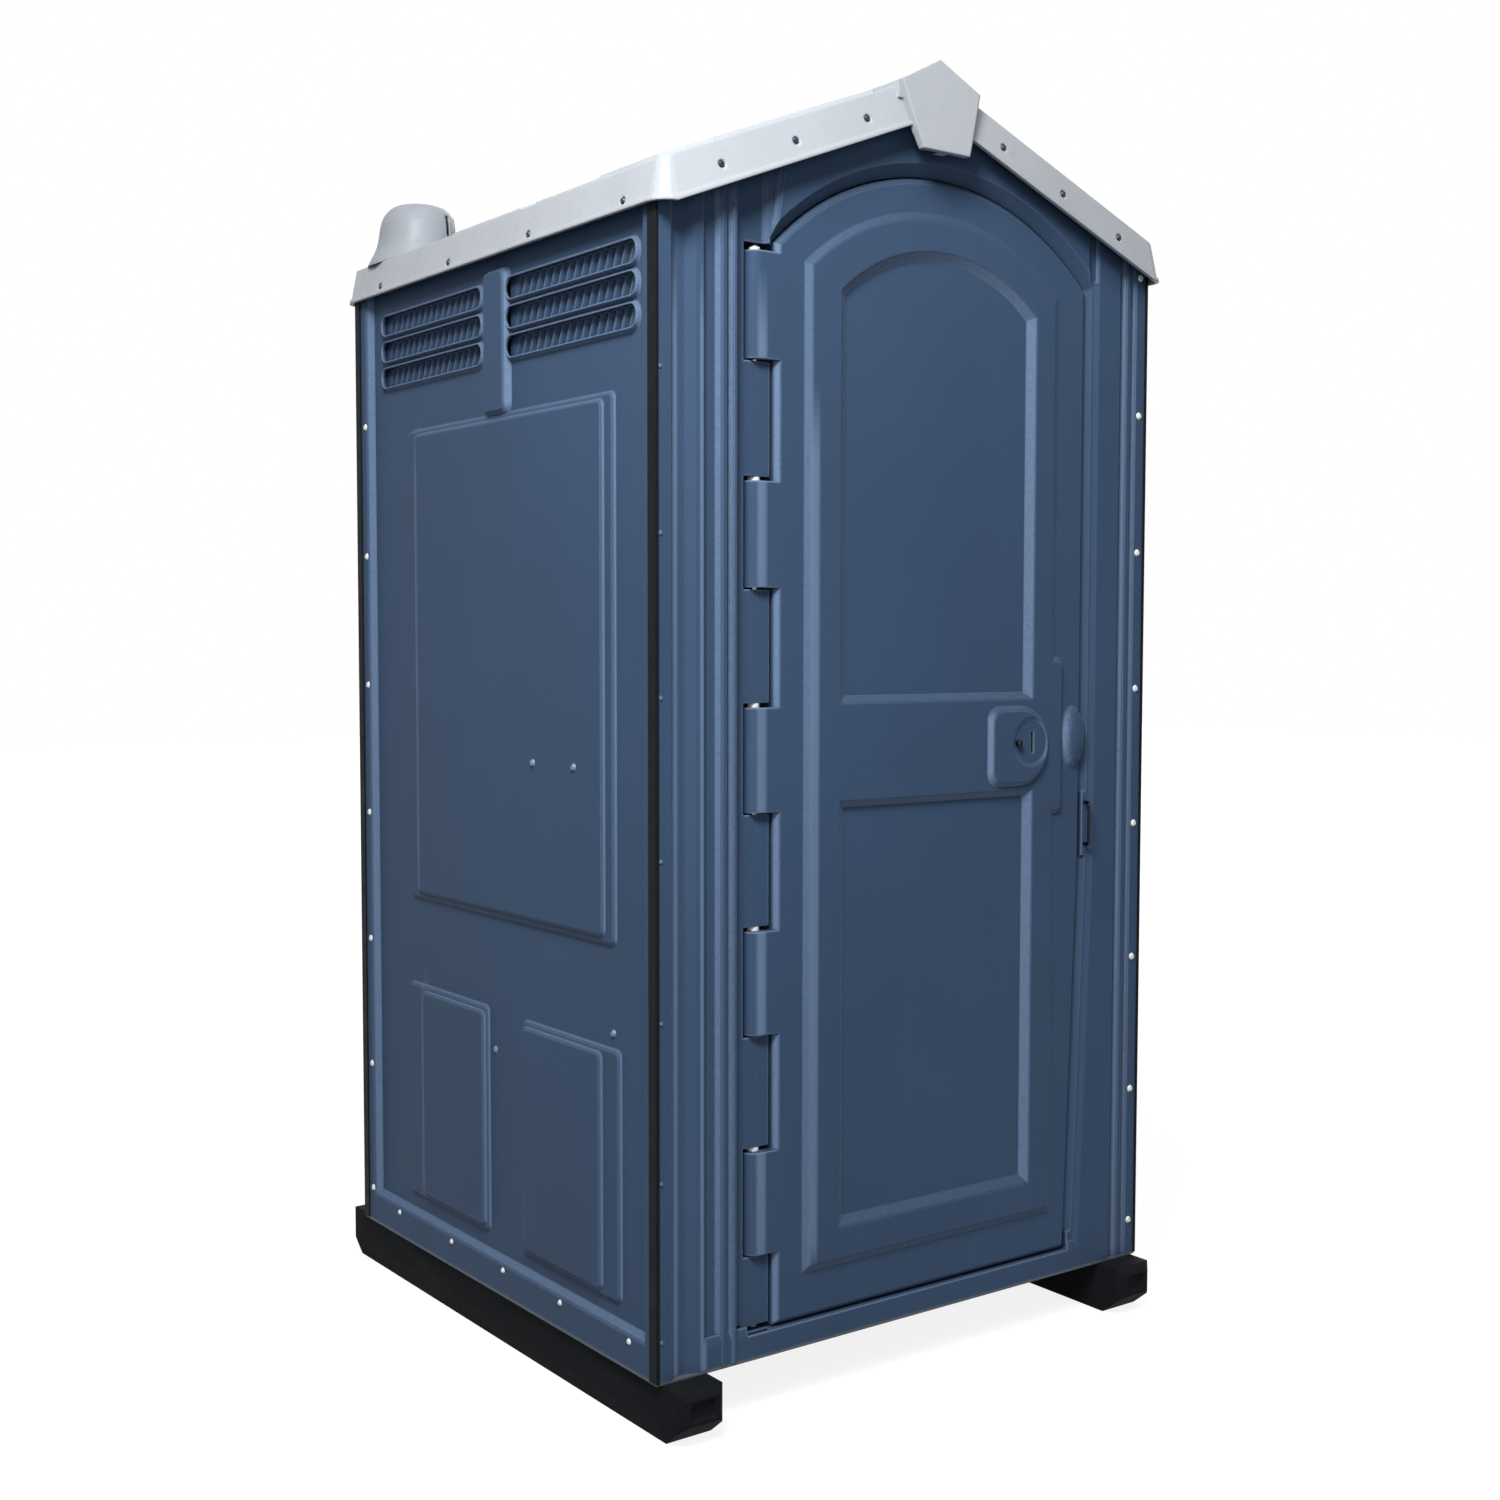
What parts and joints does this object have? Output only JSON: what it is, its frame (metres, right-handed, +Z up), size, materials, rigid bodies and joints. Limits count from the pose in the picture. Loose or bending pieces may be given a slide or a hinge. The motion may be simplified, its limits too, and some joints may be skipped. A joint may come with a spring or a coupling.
{
  "type": "portable toilet cabin",
  "caption": "Free-standing portable toilet cabin on skids with a hinged door and turn lock, gabled roof, louvred side walls, waste tank with seat and lid, and a urinal.",
  "frame": {"origin": "on the ground, under the middle of the skids", "axes": "+Z up, -Y out of the door side, +X to the right of a person facing the door"},
  "size_m": [1.1504, 1.246, 2.28],
  "materials": {
    "body": "fine satin moulded finish",
    "roof": "translucent pale grey, satin",
    "black": "matt black",
    "white": "smooth",
    "steel": "zinc plated",
    "tank": "dark grey moulded",
    "seat": "smooth",
    "bowl": "smooth",
    "hose": "matt",
    "indicator": "smooth",
    "paper": "soft paper",
    "pan": "moulded, non-slip treads"
  },
  "bodies": {
    "cabin": {"skid_left": "black", "skid_right": "black", "skid_bolts": "steel", "base_floor": "pan", "left_wall": "body", "right_wall": "body", "rear_wall": "body", "vent_screen_left": "body", "vent_screen_right": "body", "front_frame": "body", "corner_trim_front_left": "black", "corner_trim_front_right": "black", "corner_trim_rear_left": "black", "corner_trim_rear_right": "black", "corner_rivets": "white", "jamb_rivets": "body", "base_screws": "steel", "roof": "roof", "roof_rivets": "steel", "vent_cowl": "roof", "vent_pipe": "black", "hinge_rod": "steel", "closer_spring": "steel", "latch_keeper": "steel", "padlock_staple": "steel", "tank": "tank", "seat_hinge": "seat", "urinal": "bowl", "urinal_hose": "hose", "fixture_bolts": "steel", "paper_bracket": "black", "paper_spindle": "black"},
    "door": {"door_outer_skin": "body", "door_inner_skin": "body", "hinge_bushes": "white", "latch_case": "black", "coat_hook": "black"},
    "latch_turn": {"lock_spindle": "steel", "indicator_disc": "indicator", "latch_lever": "black"},
    "bolt": {"latch_bolt": "steel"},
    "seat": {"toilet_seat": "seat"},
    "lid": {"toilet_lid": "seat"},
    "roll_front": {"paper_roll_front": "paper"},
    "roll_rear": {"paper_roll_rear": "paper"}
  },
  "joints": [
    {"name": "door_hinge", "type": "hinge", "parent": "cabin", "child": "door", "pos_m": [-0.35, -0.541, 1.1], "axis": [0, 0, -1], "range_deg": [0, 110], "stiffness_Nm_per_rad": 1.2, "springref_deg": -22.92},
    {"name": "latch_turn", "type": "hinge", "parent": "door", "child": "latch_turn", "pos_m": [0.222, -0.55, 1.105], "axis": [0, 1, 0], "range_deg": [0, 90]},
    {"name": "bolt_slide", "type": "slide", "parent": "door", "child": "bolt", "axis": [1, 0, 0], "range_m": [0, 0.022]},
    {"name": "seat_lift", "type": "hinge", "parent": "cabin", "child": "seat", "pos_m": [0, 0.418, 0.606], "axis": [-1, 0, 0], "range_deg": [0, 93]},
    {"name": "lid_lift", "type": "hinge", "parent": "seat", "child": "lid", "pos_m": [0, 0.418, 0.606], "axis": [1, 0, 0], "range_deg": [-95, 0]},
    {"name": "roll_front_spin", "type": "hinge", "parent": "cabin", "child": "roll_front", "pos_m": [0.4597, -0.233, 0.703], "axis": [0, 1, 0], "continuous": true},
    {"name": "roll_rear_spin", "type": "hinge", "parent": "cabin", "child": "roll_rear", "pos_m": [0.4597, -0.127, 0.703], "axis": [0, 1, 0], "continuous": true}
  ],
  "couplings": [
    {"joint": "bolt_slide", "follows": "latch_turn", "m_per_rad": 0.014006}
  ]
}
